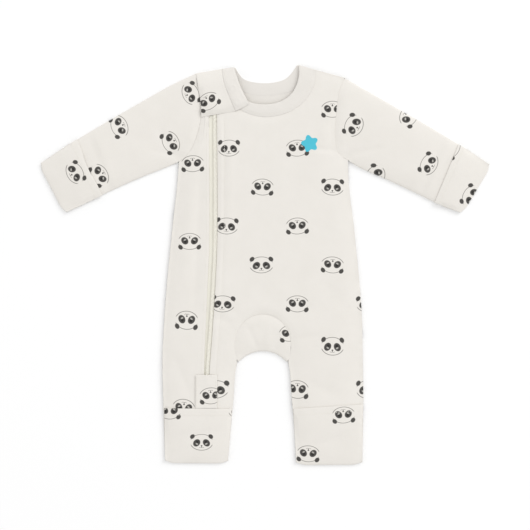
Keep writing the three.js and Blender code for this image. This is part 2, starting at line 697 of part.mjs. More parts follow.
function snapDiscs() {
  for (const { name, x, y } of snaps) {
    const disc = new THREE.CylinderGeometry(snap.radius, snap.radius, snap.wall, steps.snapRound);
    disc.rotateX(Math.PI / 2);
    disc.translate(x, y, frontTop(x, y) + bandProud + seamGap + snap.wall / 2);
    addMesh(name, disc, resin);
  }
}

const hemOf = (table) => {
  const end = table.at(-1);
  return { low: [end.lowX, end.lowY], top: [end.topX, end.topY] };
};

backPanel();
wideFront();
sideFront();
sleeve('sleeve_left', armhole.left, leftSleeve);
sleeve('sleeve_right', armhole.right, rightSleeve);
turnOverCover('mitt_left', hemOf(leftSleeve));
turnOverCover('mitt_right', hemOf(rightSleeve));
const leftHem = { low: [innerLeg('left', hemY), hemY], top: [sideX('left', hemY), hemY] };
const rightHem = { low: [sideX('right', hemY), hemY], top: [innerLeg('right', hemY), hemY] };
turnOverCover('foot_cover_left', leftHem);
turnOverCover('foot_cover_right', rightHem);
gusset();
neckBands();
shoulderFlap();
zip();
zipGarage();
snapDiscs();

export default romper;
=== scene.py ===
import json
import math

import bmesh
import bpy
from mathutils import Matrix, Vector, kdtree, noise
from mathutils.bvhtree import BVHTree
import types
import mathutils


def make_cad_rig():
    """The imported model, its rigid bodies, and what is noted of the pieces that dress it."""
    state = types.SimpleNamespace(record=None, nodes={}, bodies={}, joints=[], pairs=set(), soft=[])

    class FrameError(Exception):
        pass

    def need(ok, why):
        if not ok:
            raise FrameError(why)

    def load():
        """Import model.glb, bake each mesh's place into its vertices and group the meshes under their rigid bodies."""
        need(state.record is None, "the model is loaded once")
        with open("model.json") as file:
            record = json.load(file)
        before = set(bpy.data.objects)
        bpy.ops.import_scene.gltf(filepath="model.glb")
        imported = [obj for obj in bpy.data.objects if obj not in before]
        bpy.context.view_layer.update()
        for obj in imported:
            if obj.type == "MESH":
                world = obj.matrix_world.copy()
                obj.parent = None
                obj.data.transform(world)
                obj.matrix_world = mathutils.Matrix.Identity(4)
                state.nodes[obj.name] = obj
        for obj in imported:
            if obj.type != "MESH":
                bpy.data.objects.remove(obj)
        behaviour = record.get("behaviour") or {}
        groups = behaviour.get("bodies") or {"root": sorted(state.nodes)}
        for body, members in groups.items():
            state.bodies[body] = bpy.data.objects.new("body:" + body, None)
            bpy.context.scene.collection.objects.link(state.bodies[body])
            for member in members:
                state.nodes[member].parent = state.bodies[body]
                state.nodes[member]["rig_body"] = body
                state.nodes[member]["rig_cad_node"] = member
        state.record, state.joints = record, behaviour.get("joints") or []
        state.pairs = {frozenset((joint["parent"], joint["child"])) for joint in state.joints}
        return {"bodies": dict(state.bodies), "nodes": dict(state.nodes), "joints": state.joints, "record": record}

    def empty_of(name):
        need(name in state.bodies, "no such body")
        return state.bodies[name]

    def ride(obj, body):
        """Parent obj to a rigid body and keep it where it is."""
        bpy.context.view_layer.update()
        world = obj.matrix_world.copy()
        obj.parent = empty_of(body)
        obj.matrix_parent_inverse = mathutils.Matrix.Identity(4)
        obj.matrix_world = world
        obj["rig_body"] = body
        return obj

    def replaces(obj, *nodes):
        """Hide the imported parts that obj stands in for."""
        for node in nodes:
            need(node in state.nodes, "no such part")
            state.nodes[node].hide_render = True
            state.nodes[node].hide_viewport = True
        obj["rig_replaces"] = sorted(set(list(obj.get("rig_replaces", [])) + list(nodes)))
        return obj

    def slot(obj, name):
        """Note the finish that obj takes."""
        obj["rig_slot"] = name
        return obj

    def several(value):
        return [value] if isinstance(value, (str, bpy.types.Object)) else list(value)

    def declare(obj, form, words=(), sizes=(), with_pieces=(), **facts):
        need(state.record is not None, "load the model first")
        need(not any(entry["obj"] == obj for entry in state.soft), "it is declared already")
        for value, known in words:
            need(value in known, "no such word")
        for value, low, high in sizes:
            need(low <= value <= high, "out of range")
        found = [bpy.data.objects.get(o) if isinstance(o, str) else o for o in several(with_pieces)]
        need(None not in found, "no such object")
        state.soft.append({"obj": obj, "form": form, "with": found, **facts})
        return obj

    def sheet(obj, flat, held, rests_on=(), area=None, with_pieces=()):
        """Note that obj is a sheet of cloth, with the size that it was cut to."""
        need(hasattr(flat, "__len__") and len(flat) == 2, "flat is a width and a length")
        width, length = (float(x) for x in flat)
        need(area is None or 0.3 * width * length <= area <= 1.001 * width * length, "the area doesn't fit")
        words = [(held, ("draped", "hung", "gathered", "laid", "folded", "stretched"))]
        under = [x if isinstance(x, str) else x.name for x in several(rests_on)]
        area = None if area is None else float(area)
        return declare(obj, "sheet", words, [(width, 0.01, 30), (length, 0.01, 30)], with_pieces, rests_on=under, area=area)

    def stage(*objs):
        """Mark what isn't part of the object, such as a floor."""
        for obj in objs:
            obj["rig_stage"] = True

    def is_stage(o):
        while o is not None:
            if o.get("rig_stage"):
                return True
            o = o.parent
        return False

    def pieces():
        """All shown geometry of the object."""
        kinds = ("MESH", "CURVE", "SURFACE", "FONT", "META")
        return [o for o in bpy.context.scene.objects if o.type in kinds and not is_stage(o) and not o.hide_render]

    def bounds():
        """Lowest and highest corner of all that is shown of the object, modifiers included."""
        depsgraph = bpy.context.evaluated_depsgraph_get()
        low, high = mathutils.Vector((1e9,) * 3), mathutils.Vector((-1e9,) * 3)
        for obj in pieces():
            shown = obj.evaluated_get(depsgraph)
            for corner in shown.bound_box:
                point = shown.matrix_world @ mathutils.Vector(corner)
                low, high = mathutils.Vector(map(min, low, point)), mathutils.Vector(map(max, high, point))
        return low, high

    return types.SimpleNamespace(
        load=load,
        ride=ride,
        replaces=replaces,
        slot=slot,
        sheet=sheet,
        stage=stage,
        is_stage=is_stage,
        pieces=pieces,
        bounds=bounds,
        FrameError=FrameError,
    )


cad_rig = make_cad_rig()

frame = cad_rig.load()
cadBox = [list(corner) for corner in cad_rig.bounds()]
mm = 0.001

def linearColour(hexCode):
    shares = [int(hexCode[i:i + 2], 16) / 255 for i in (1, 3, 5)]
    return [s / 12.92 if s <= 0.04045 else ((s + 0.055) / 1.055) ** 2.4 for s in shares] + [1.0]


def addNode(tree, kind, settings=None, links=None):
    node = tree.nodes.new(kind)
    for key, value in (settings or {}).items():
        if isinstance(key, str) and hasattr(node, key):
            setattr(node, key, value)
        else:
            node.inputs[key].default_value = value
    for key, source in (links or {}).items():
        socket = source if isinstance(source, bpy.types.NodeSocket) else source.outputs[0]
        tree.links.new(socket, node.inputs[key])
    return node


def newMaterial(name):
    material = bpy.data.materials.new(name)
    material.use_nodes = True
    material.node_tree.nodes.clear()
    return material, material.node_tree


def finishMaterial(tree, surface, bump, settings):
    shader = addNode(tree, "ShaderNodeBsdfPrincipled", settings, {"Base Color": surface, "Normal": bump})
    addNode(tree, "ShaderNodeOutputMaterial", links={"Surface": shader})


# the half-drop repeat: faces stand in columns, every second column half a gap lower
printRepeat = {
    "columnGap": 45.7 * mm,
    "rowGap": 101.0 * mm,
    "firstColumn": -49.5 * mm,
    "firstRow": 151.6 * mm,
    "tilt": 4,  # degrees, so that no two neighbours stand quite alike
    "tiltStep": 2.3,
}

# a bear's face in millimetres from its middle: each spot is an oval in one ink, and is mirrored left to right
pandaFace = {
    "outline": {"ink": "outline", "at": (0, 0), "radii": (14.6, 10.4), "line": 0.042},
    "muzzle": {"ink": "outline", "at": (1.5, -6.0), "radii": (1.5, 1.1), "line": 0.2},
    "ear": {"ink": "patch", "at": (11.9, 7.5), "radii": (3.4, 2.7), "turn": -48},
    "patch": {"ink": "patch", "at": (6.3, -0.8), "radii": (4.2, 5.2), "turn": 42},
    "pupil": {"ink": "pupil", "at": (5.6, 0.1), "radii": (1.8, 2.0), "turn": 0},
    "gleam": {"ink": "gleam", "at": (6.1, -2.1), "radii": (1.7, 0.95), "turn": 28},
    "nose": {"ink": "patch", "at": (0, -4.6), "radii": (1.1, 0.8), "turn": 0},
    "lip": {"ink": "patch", "at": (0, -5.8), "radii": (0.4, 1.0), "turn": 0},
}
faceGaps = {"cheek": (2.6, 4.6), "muzzle": (-6.0, -6.5)}  # from where to where a line appears, in millimetres
inkEdge = 0.28 * mm

inkColours = {
    "outline": "#8f8c87",
    "patch": "#4d4b48",
    "pupil": "#2e2d2b",
    "gleam": "#b9b6b0",
    "star": "#53c3d8",
}

knit = {
    "waleGap": 1.25 * mm,  # about 0.9 mm on cloth of this kind, drawn a little coarser so that it shows
    "courseGap": 1.05 * mm,
    "depth": 0.16 * mm,
    "fuzz": 0.05 * mm,
    "leg": (0.14, 0.6),  # how much a stitch swells, about what height
    "groove": (0.5, 0.2),
    "shade": 0.93,  # painted shade: the cloth's colour between two ribs is darkened to this share
}


def knitHeight(tree, place):
    # columns of small V stitches, which give the cloth its fine upright ribs
    parts = addNode(tree, "ShaderNodeSeparateXYZ", links={0: place})
    wale = addNode(tree, "ShaderNodeMath", {"operation": "DIVIDE", 1: knit["waleGap"]}, {0: parts.outputs[0]})
    share = addNode(tree, "ShaderNodeMath", {"operation": "FRACT"}, {0: wale})
    off = addNode(tree, "ShaderNodeMath", {"operation": "SUBTRACT", 1: 0.5}, {0: share})
    side = addNode(tree, "ShaderNodeMath", {"operation": "ABSOLUTE"}, {0: off})
    course = addNode(tree, "ShaderNodeMath",
                     {"operation": "DIVIDE", 1: knit["courseGap"]}, {0: parts.outputs[1]})
    slant = addNode(tree, "ShaderNodeMath", {"operation": "ADD"}, {0: course, 1: side})
    phase = addNode(tree, "ShaderNodeMath", {"operation": "MULTIPLY", 1: math.tau}, {0: slant})
    loop = addNode(tree, "ShaderNodeMath", {"operation": "SINE"}, {0: phase})
    leg = addNode(tree, "ShaderNodeMath",
                  {"operation": "MULTIPLY_ADD", 1: knit["leg"][0], 2: knit["leg"][1]}, {0: loop})
    groove = addNode(tree, "ShaderNodeMapRange",
                     {"interpolation_type": "SMOOTHSTEP", "From Min": knit["groove"][0],
                      "From Max": knit["groove"][1]}, {0: side})
    return addNode(tree, "ShaderNodeMath", {"operation": "MULTIPLY"}, {0: leg, 1: groove})


def printCells(tree, place):
    # where in its own cell of the repeat a point is, turned the way that this face stands
    parts = addNode(tree, "ShaderNodeSeparateXYZ", links={0: place})
    gap, rise = printRepeat["columnGap"], printRepeat["rowGap"]
    across = addNode(tree, "ShaderNodeMath",
                     {"operation": "MULTIPLY_ADD", 1: 1 / gap, 2: 0.5 - printRepeat["firstColumn"] / gap},
                     {0: parts.outputs[0]})
    column = addNode(tree, "ShaderNodeMath", {"operation": "FLOOR"}, {0: across})
    fromColumn = addNode(tree, "ShaderNodeMath", {"operation": "SUBTRACT"}, {0: across, 1: column})
    localX = addNode(tree, "ShaderNodeMath",
                     {"operation": "MULTIPLY_ADD", 1: gap, 2: -gap / 2}, {0: fromColumn})
    odd = addNode(tree, "ShaderNodeMath", {"operation": "FLOORED_MODULO", 1: 2.0}, {0: column})
    dropped = addNode(tree, "ShaderNodeMath",
                      {"operation": "MULTIPLY_ADD", 1: rise / 2}, {0: odd, 2: parts.outputs[1]})
    down = addNode(tree, "ShaderNodeMath",
                   {"operation": "MULTIPLY_ADD", 1: -1 / rise, 2: 0.5 + printRepeat["firstRow"] / rise},
                   {0: dropped})
    row = addNode(tree, "ShaderNodeMath", {"operation": "FLOOR"}, {0: down})
    fromRow = addNode(tree, "ShaderNodeMath", {"operation": "SUBTRACT"}, {0: row, 1: down})
    localY = addNode(tree, "ShaderNodeMath",
                     {"operation": "MULTIPLY_ADD", 1: rise, 2: rise / 2}, {0: fromRow})

    # upright in the first column of four, upside down in the third, in turn in the other two
    quarter = addNode(tree, "ShaderNodeMath", {"operation": "MULTIPLY", 1: math.pi / 2}, {0: column})
    even = addNode(tree, "ShaderNodeMath", {"operation": "COSINE"}, {0: quarter})
    uneven = addNode(tree, "ShaderNodeMath", {"operation": "SINE"}, {0: quarter})
    halfTurn = addNode(tree, "ShaderNodeMath", {"operation": "MULTIPLY", 1: math.pi}, {0: row})
    alternate = addNode(tree, "ShaderNodeMath", {"operation": "COSINE"}, {0: halfTurn})
    turned = addNode(tree, "ShaderNodeMath", {"operation": "MULTIPLY"}, {0: alternate, 1: uneven})
    way = addNode(tree, "ShaderNodeMath", {"operation": "SUBTRACT"}, {0: even, 1: turned})

    local = addNode(tree, "ShaderNodeCombineXYZ", links={0: localX, 1: localY})
    facing = addNode(tree, "ShaderNodeVectorMath", {"operation": "SCALE"}, {0: local, "Scale": way})
    mix = addNode(tree, "ShaderNodeMath",
                  {"operation": "MULTIPLY_ADD", 1: printRepeat["tiltStep"]}, {0: column, 2: row})
    sway = addNode(tree, "ShaderNodeMath", {"operation": "SINE"}, {0: mix})
    tilt = addNode(tree, "ShaderNodeMath",
                   {"operation": "MULTIPLY", 1: math.radians(printRepeat["tilt"])}, {0: sway})
    return addNode(tree, "ShaderNodeVectorRotate",
                   {"rotation_type": "Z_AXIS"}, {"Vector": facing, "Angle": tilt})


def ovalSpot(tree, place, spot):
    # 1 inside an oval and 0 outside, or 1 on its line only
    radii = [r * mm for r in spot["radii"]]
    own = addNode(tree, "ShaderNodeMapping",
                  {"vector_type": "TEXTURE",
                   "Location": [spot["at"][0] * mm, spot["at"][1] * mm, 0],
                   "Rotation": [0, 0, math.radians(spot.get("turn", 0))],
                   "Scale": [radii[0], radii[1], 1]}, {0: place})
    reach = addNode(tree, "ShaderNodeVectorMath", {"operation": "LENGTH"}, {0: own})
    soft = inkEdge / min(radii)
    if "line" in spot:
        off = addNode(tree, "ShaderNodeMath", {"operation": "SUBTRACT", 1: 1.0}, {0: reach.outputs["Value"]})
        away = addNode(tree, "ShaderNodeMath", {"operation": "ABSOLUTE"}, {0: off})
        return addNode(tree, "ShaderNodeMapRange",
                       {"From Min": spot["line"] + soft * 0.5, "From Max": spot["line"] * 0.4}, {0: away})
    return addNode(tree, "ShaderNodeMapRange",
                   {"From Min": 1 + soft, "From Max": 1 - soft}, {0: reach.outputs["Value"]})


def pandaPrint(tree, place, cloth):
    # pigment faces over the cloth's own colour
    cell = printCells(tree, place)
    parts = addNode(tree, "ShaderNodeSeparateXYZ", links={0: cell})
    both = addNode(tree, "ShaderNodeMath", {"operation": "ABSOLUTE"}, {0: parts.outputs[0]})
    mirrored = addNode(tree, "ShaderNodeCombineXYZ", links={0: both, 1: parts.outputs[1]})
    high = addNode(tree, "ShaderNodeMath", {"operation": "ABSOLUTE"}, {0: parts.outputs[1]})
    fadeFrom, fadeTo = [height * mm for height in faceGaps["cheek"]]
    atCheeks = addNode(tree, "ShaderNodeMapRange", {"From Min": fadeFrom, "From Max": fadeTo}, {0: high})
    fadeFrom, fadeTo = [height * mm for height in faceGaps["muzzle"]]
    belowNose = addNode(tree, "ShaderNodeMapRange", {"From Min": fadeFrom, "From Max": fadeTo},
                        {0: parts.outputs[1]})
    kept = {"outline": atCheeks, "muzzle": belowNose}
    for name, spot in pandaFace.items():
        mask = ovalSpot(tree, mirrored, spot)
        if name in kept:
            mask = addNode(tree, "ShaderNodeMath", {"operation": "MULTIPLY"}, {0: mask, 1: kept[name]})
        ink = linearColour(inkColours[spot["ink"]])
        cloth = addNode(tree, "ShaderNodeMix", {"data_type": "RGBA", 7: ink}, {0: mask, 6: cloth}).outputs[2]
    return cloth


def cottonInterlock(name, printed=False, star=False, shade="#eeeae4", shadeDark="#e7e3dc"):
    # matt and soft: no highlight, a pale bloom of loose fibre at grazing angles
    material, tree = newMaterial(name)
    place = addNode(tree, "ShaderNodeUVMap", {"uv_map": "print"})
    cloud = addNode(tree, "ShaderNodeTexNoise",
                    {"Scale": 28.0, "Detail": 3.0, "Roughness": 0.6}, {"Vector": place})
    cloth = addNode(tree, "ShaderNodeMix",
                    {"data_type": "RGBA", 6: linearColour(shade), 7: linearColour(shadeDark)},
                    {0: cloud}).outputs[2]
    if printed:
        cloth = pandaPrint(tree, place, cloth)
    if star:
        cloth = roundedStar(tree, place, cloth)
    stitches = knitHeight(tree, place)
    # painted shade: the cloth's colour is darkened in the grooves between the knit's ribs, where shade falls
    paintedGrooveShade = addNode(tree, "ShaderNodeMapRange",
                   {"From Min": 0.0, "From Max": 0.5, "To Min": knit["shade"]}, {0: stitches})
    surface = addNode(tree, "ShaderNodeMix", {"data_type": "RGBA", "blend_type": "MULTIPLY", 0: 1.0},
                      {6: cloth, 7: paintedGrooveShade})
    fuzz = addNode(tree, "ShaderNodeTexNoise", {"Scale": 2600.0, "Detail": 2.0}, {"Vector": place})
    relief = addNode(tree, "ShaderNodeMath", {"operation": "MULTIPLY_ADD", 1: knit["fuzz"] / knit["depth"]},
                     {0: fuzz, 2: stitches})
    bump = addNode(tree, "ShaderNodeBump", {"Strength": 0.7, "Distance": knit["depth"]}, {"Height": relief})
    finishMaterial(tree, surface.outputs[2], bump,
                   {"Roughness": 0.93, "IOR": 1.47, "Specular IOR Level": 0.22,
                    "Sheen Weight": 0.12, "Sheen Roughness": 0.6})
    return material


starPlace = {"x": 58.1, "y": 157.6, "turn": 14, "radius": 9.6, "points": 5, "wave": 1.8, "edge": 0.25}


def roundedStar(tree, place, cloth):
    # one small plain star on the chest, its points rounded
    own = addNode(tree, "ShaderNodeMapping",
                  {"vector_type": "TEXTURE", "Location": [starPlace["x"] * mm, starPlace["y"] * mm, 0],
                   "Rotation": [0, 0, math.radians(starPlace["turn"])]}, {0: place})
    parts = addNode(tree, "ShaderNodeSeparateXYZ", links={0: own})
    angle = addNode(tree, "ShaderNodeMath",
                    {"operation": "ARCTAN2"}, {0: parts.outputs[0], 1: parts.outputs[1]})
    turns = addNode(tree, "ShaderNodeMath",
                    {"operation": "MULTIPLY", 1: float(starPlace["points"])}, {0: angle})
    wave = addNode(tree, "ShaderNodeMath", {"operation": "COSINE"}, {0: turns})
    edge = addNode(tree, "ShaderNodeMath",
                   {"operation": "MULTIPLY_ADD", 1: starPlace["wave"] * mm, 2: starPlace["radius"] * mm},
                   {0: wave})
    reach = addNode(tree, "ShaderNodeVectorMath", {"operation": "LENGTH"}, {0: own})
    off = addNode(tree, "ShaderNodeMath", {"operation": "SUBTRACT"}, {0: reach.outputs["Value"], 1: edge})
    soft = starPlace["edge"] * mm
    mask = addNode(tree, "ShaderNodeMapRange", {"From Min": soft, "From Max": -soft}, {0: off})
    return addNode(tree, "ShaderNodeMix", {"data_type": "RGBA", 7: linearColour(inkColours["star"])},
                   {0: mask, 6: cloth}).outputs[2]


def polyesterTape(name):
    # woven flat in a fine herringbone, slightly slick
    material, tree = newMaterial(name)
    place = addNode(tree, "ShaderNodeUVMap", {"uv_map": "print"})
    own = addNode(tree, "ShaderNodeMapping", {"Rotation": [0, 0, math.radians(45)]}, {0: place})
    weave = addNode(tree, "ShaderNodeTexWave", {"Scale": 150.0, "Distortion": 0.6}, {"Vector": own})
    surface = addNode(tree, "ShaderNodeMix",
                      {"data_type": "RGBA", 6: linearColour("#e9e6d9"), 7: linearColour("#efece1")},
                      {0: weave})
    bump = addNode(tree, "ShaderNodeBump", {"Strength": 0.6, "Distance": 0.1 * mm}, {"Height": weave})
    finishMaterial(tree, surface.outputs[2], bump, {"Roughness": 0.7, "IOR": 1.55, "Specular IOR Level": 0.4})
    return material


def smoothFinish(name, shade, shadeDark, roughness, ior):
    # moulded, drawn or lacquered: even colour, faint flow marks, a soft highlight
    material, tree = newMaterial(name)
    place = addNode(tree, "ShaderNodeTexCoord")
    flow = addNode(tree, "ShaderNodeTexNoise",
                   {"Scale": 240.0, "Detail": 2.0}, {"Vector": place.outputs["Object"]})
    surface = addNode(tree, "ShaderNodeMix",
                      {"data_type": "RGBA", 6: linearColour(shade), 7: linearColour(shadeDark)},
                      {0: flow})
    bump = addNode(tree, "ShaderNodeBump", {"Strength": 0.2, "Distance": 0.05 * mm}, {"Height": flow})
    finishMaterial(tree, surface.outputs[2], bump, {"Roughness": roughness, "IOR": ior})
    return material


def sewingThread(name):
    # spun polyester in two twisted plies: pale, a little fuzzy, its light broken up
    material, tree = newMaterial(name)
    place = addNode(tree, "ShaderNodeTexCoord")
    twist = addNode(tree, "ShaderNodeTexNoise", {"Scale": 1800.0}, {"Vector": place.outputs["Object"]})
    surface = addNode(tree, "ShaderNodeMix",
                      {"data_type": "RGBA", 6: linearColour("#f1eee7"), 7: linearColour("#dedad0")},
                      {0: twist})
    bump = addNode(tree, "ShaderNodeBump", {"Strength": 0.4, "Distance": 0.05 * mm}, {"Height": twist})
    finishMaterial(tree, surface.outputs[2], bump, {"Roughness": 0.6, "IOR": 1.55, "Sheen Weight": 0.2})
    return material


materials = {
    "printedInterlock": cottonInterlock("printed cotton interlock", printed=True),
    "chestInterlock": cottonInterlock("printed cotton interlock with a star", printed=True, star=True),
    "plainInterlock": cottonInterlock("plain cotton interlock", shade="#ebe7e1", shadeDark="#e4e0da"),
    "insideInterlock": cottonInterlock("cotton interlock, wrong side", shade="#ece8e2", shadeDark="#e6e2db"),
    "tape": polyesterTape("woven polyester tape"),
    "coil": smoothFinish("drawn nylon coil", "#f7f4ea", "#f0ede2", 0.42, 1.53),
    "snap": smoothFinish("moulded acetal snap", "#f3f2ee", "#ebeae5", 0.35, 1.48),
    "slider": smoothFinish("lacquered zinc slider", "#ece9df", "#e3dfd3", 0.3, 1.5),
    "thread": sewingThread("spun polyester thread"),
}
print("materials ready")


# how the print lies on a piece, in millimetres and degrees: the face of this column and row of the repeat is
# at x, y, its column climbs at this angle, and an ease shifts the print little by little along an axis
printLies = {
    "front_main": {"x": -49.5, "y": 151.6, "climbs": 90, "column": 0, "row": 0},
    "front_side": {"x": -97.8, "y": 30.6, "climbs": 87.8, "column": 2, "row": 1},
    "shoulder_flap": {"x": -73.7, "y": 212.2, "climbs": 116, "column": 2, "row": 0},
    "zip_garage": {"x": -70.2, "y": -169.7, "climbs": 90, "column": 2, "row": 0},
    "crotch_gusset": {"x": 33.0, "y": -88.5, "climbs": 95, "column": 2, "row": 0},
    "sleeve_left": {"x": -122.2, "y": 159.3, "climbs": 205.8, "column": 0, "row": 0,
                    "ease": {"axis": 0, "from": -140, "to": -185, "move": (-1.5, 1.5)}},
    "sleeve_right": {"x": 212.9, "y": 130.7, "climbs": 154.2, "column": 0, "row": 1,
                     "ease": {"axis": 0, "from": 185, "to": 110, "move": (-7.5, 6.5)}},
    "mitt_left": {"x": -246.6, "y": 119.4, "climbs": 205.8, "column": 2, "row": 0},
    "mitt_right": {"x": 267.6, "y": 89.4, "climbs": 154.2, "column": 0, "row": 1},
    "foot_cover_left": {"x": -82.3, "y": -230.0, "climbs": 90, "column": 0, "row": 0,
                        "ease": {"axis": 1, "from": -220, "to": -204, "move": (4, -10)}},
    "foot_cover_right": {"x": 101.8, "y": -194.6, "climbs": 90, "column": 2, "row": 0},
    "back": {"x": -20.0, "y": 165.0, "climbs": 90, "column": 0, "row": 0},
}
plainLies = {"x": 0, "y": 0, "climbs": 90, "column": 0, "row": 0}  # bands and tapes, which have no print

# the front is eased along the zip and stretched on the legs, and its print goes with it
frontEase = {"from": 151, "start": -3.2, "lean": 0.023, "curve": 0.00011, "fadeAt": 20, "fade": 80}
neckSlip = {"at": (-3.8, 197), "size": 24, "up": 4.5}  # the print sits higher under the neckband
legStretch = {"front_main": 0.1, "front_side": 0.118, "from": -60}

# how a piece is finished unless its own entry says otherwise, in millimetres: how finely it is divided, how
# deep its edges roll over, how far a sewn edge is tucked under its neighbour, and which cloth it is
usualFinish = {
    "levels": 3,
    "kind": "CATMULL_CLARK",
    "roll": 0.3,
    "tuck": 0,
    "curl": 0,
    "closes": False,  # its two layers meet at the sides
    "pulls": [],  # places near a line, over a height, that are moved
    "inside": "insideInterlock",
    "outside": "printedInterlock",
}
ownFinish = {
    "back": {"levels": 1, "roll": 0, "curl": 1.8},
    "front_main": {"levels": 2, "roll": 0.22, "outside": "chestInterlock"},
    "front_side": {"roll": 0.22},
    "sleeve_left": {"levels": 2, "roll": 0.2, "tuck": 0.3},
    "sleeve_right": {"levels": 2, "roll": 0.2, "tuck": 0.3},
    "mitt_left": {
        "closes": True,
        "pulls": [{"from": (-229, 121), "to": (-234, 132), "size": 11, "above": 3,
                   "move": (-2.2, -0.9, 0.8)}],
    },
    "mitt_right": {"closes": True},
    "foot_cover_left": {"closes": True},
    "foot_cover_right": {"closes": True},
    "crotch_gusset": {
        "levels": 2, "kind": "SIMPLE", "roll": 0.22, "tuck": 0.3,
        "pulls": [{"from": (25, -122.5), "to": (29, -119), "size": 6, "above": -1, "move": (3.2, -3, 0)},
                  {"from": (-31, -122.5), "to": (-35, -119), "size": 6, "above": -1, "move": (-3.2, -3, 0)}],
    },
    "shoulder_flap": {
        "roll": 0.35,
        "pulls": [{"from": (-82, 192), "to": (-38, 199.5), "size": 5, "above": 3, "move": (0, 0, -2.0)},
                  {"from": (-84, 207), "to": (-86, 226), "size": 5, "above": 3, "move": (0, 0, -1.7)}],
    },
    "zip_garage": {},
    "neckband_front": {"roll": 0.22, "tuck": -0.25, "inside": "plainInterlock", "outside": "plainInterlock"},
    "neckband_back": {"levels": 1, "roll": 0, "inside": "plainInterlock", "outside": "plainInterlock"},
    "neckband_flap": {
        "roll": 0.35, "inside": "plainInterlock", "outside": "plainInterlock",
        "pulls": [{"from": (-38, 199.5), "to": (-24, 205.5), "size": 5, "above": 3, "move": (0, 0, -1.9)}],
    },
    "zip_tape_side": {"levels": 2, "roll": 0.1, "inside": "tape", "outside": "tape"},
    "zip_tape_main": {"levels": 2, "roll": 0.1, "inside": "tape", "outside": "tape"},
}
clothFinish = {name: {**usualFinish, **own} for name, own in ownFinish.items()}

# panels with no fold, and the size of the squares that they are cut into
flatPieces = {"back": 9 * mm, "neckband_back": 6 * mm}

wall = {"thickness": 0.8 * mm}
weld = 0.01 * mm

# how edges are finished: how far they reach to meet, and at what height two layers are closed
seam = {
    "ring": 0.3 * mm,
    "meets": 0.2 * mm,
    "rollReach": 2.4 * mm,
    "closeReach": 5.0 * mm,
    "over": 3.3 * mm,  # the upper and the lower layer of a mitt or a cover, at its sides
    "under": 1.6 * mm,
    "onBack": 3.5 * mm,
    "onTape": 5.4 * mm,
    "sewnReach": 10.0 * mm,
    "low": 3.5 * mm,  # a seam's height at its end, and away from it
    "flat": 4.5 * mm,
    "endReach": 18.0 * mm,
    "upperAbove": 1.2 * mm,  # an edge over this height is the upper layer's
    "sewnWithin": 2.0 * mm,
    "pairWithin": 1.0 * mm,  # two layers' edges this near in plan are closed, if they lie apart in height
    "pairApart": 1.2 * mm,
    "pairBelow": 4.4 * mm,
    "backWithin": 1.2 * mm,
    "backFrom": -190 * mm,
    "curlFrom": -195 * mm,
    "curlTo": 132 * mm,
    "underside": 0.3,  # the share of the roll that a lower layer takes
}
zipEdge = {"x": -71 * mm, "within": 10.5 * mm, "from": -150 * mm, "to": 205 * mm}
sewnTo = {
    "front_main": ["sleeve_right", "crotch_gusset", "neckband_front"],
    "front_side": ["sleeve_left"],
    "sleeve_left": ["front_side"],
    "sleeve_right": ["front_main"],
    "crotch_gusset": ["front_main"],
    "neckband_front": ["front_main"],
}
# where seams run out at the side, in millimetres
seamEnds = [(-111.8, 133.9), (-89.7, 249), (107.9, 135.9), (103.4, 243.1), (29.6, -123.6), (-35.6, -123.6),
            (60.5, 247.5)]

# soft creases in millimetres, pressed into the upper layer
creases = [
    {"from": (87, 186), "to": (85, 146), "depth": -0.52, "width": 4.5},
    {"from": (75, 184), "to": (73, 150), "depth": 0.38, "width": 6},
    {"from": (92, 148), "to": (66, 151), "depth": -0.68, "width": 4},
    {"from": (-52.6, 190), "to": (-53, 34), "depth": -0.45, "width": 1.7},
    {"from": (-53, 34), "to": (-59, -83), "depth": -0.45, "width": 1.7},
    {"from": (-59, -83), "to": (-63.2, -140), "depth": -0.45, "width": 1.7},
    {"from": (-57.5, 190), "to": (-58, 34), "depth": 0.45, "width": 3.5},
    {"from": (-58, 34), "to": (-66, -120), "depth": 0.45, "width": 3.5},
    {"from": (-44, 170), "to": (-46, 20), "depth": 0.45, "width": 6},
    {"from": (-84, 120), "to": (-92, -60), "depth": -0.52, "width": 5},
    {"from": (-96, 96), "to": (-106, -20), "depth": 0.45, "width": 7},
    {"from": (-118, 140), "to": (-138, 178), "depth": -0.6, "width": 5},
    {"from": (-106, 140), "to": (-150, 150), "depth": -0.52, "width": 5},
    {"from": (104, 142), "to": (150, 152), "depth": -0.68, "width": 5},
    {"from": (106, 146), "to": (128, 186), "depth": -0.52, "width": 6},
    {"from": (208, 88), "to": (240, 160), "depth": 0.83, "width": 3.2},
    {"from": (202, 92), "to": (231, 163), "depth": -0.6, "width": 3.6},
    {"from": (-201, 98), "to": (-228, 170), "depth": -0.52, "width": 4},
    {"from": (-194, 102), "to": (-222, 172), "depth": 0.45, "width": 4},
    {"from": (-42, -76), "to": (-74, -64), "depth": -0.6, "width": 5},
    {"from": (-34, -66), "to": (-58, -40), "depth": -0.52, "width": 6},
    {"from": (30, -72), "to": (64, -52), "depth": -0.6, "width": 6},
    {"from": (36, -96), "to": (70, -92), "depth": -0.52, "width": 5},
    {"from": (-22, -80), "to": (-10, -108), "depth": -0.52, "width": 4},
    {"from": (6, -78), "to": (2, -106), "depth": 0.45, "width": 5},
    {"from": (18, -88), "to": (12, -110), "depth": -0.45, "width": 4},
    {"from": (50, -150), "to": (96, -170), "depth": -0.45, "width": 7},
    {"from": (-118, -120), "to": (-96, -172), "depth": -0.45, "width": 6},
    {"from": (-100, -226), "to": (-70, -214), "depth": -0.52, "width": 5},
    {"from": (60, -236), "to": (100, -222), "depth": -0.52, "width": 6},
    {"from": (10, 60), "to": (70, 20), "depth": -0.38, "width": 9},
    {"from": (-20, -10), "to": (30, -34), "depth": 0.38, "width": 10},
    {"from": (70, -20), "to": (110, -60), "depth": -0.45, "width": 8},
]

snapMarks = {"at": [(-41.6, 229.5), (-35.0, 211.0)], "radius": 3.6, "width": 0.9, "height": 0.32}

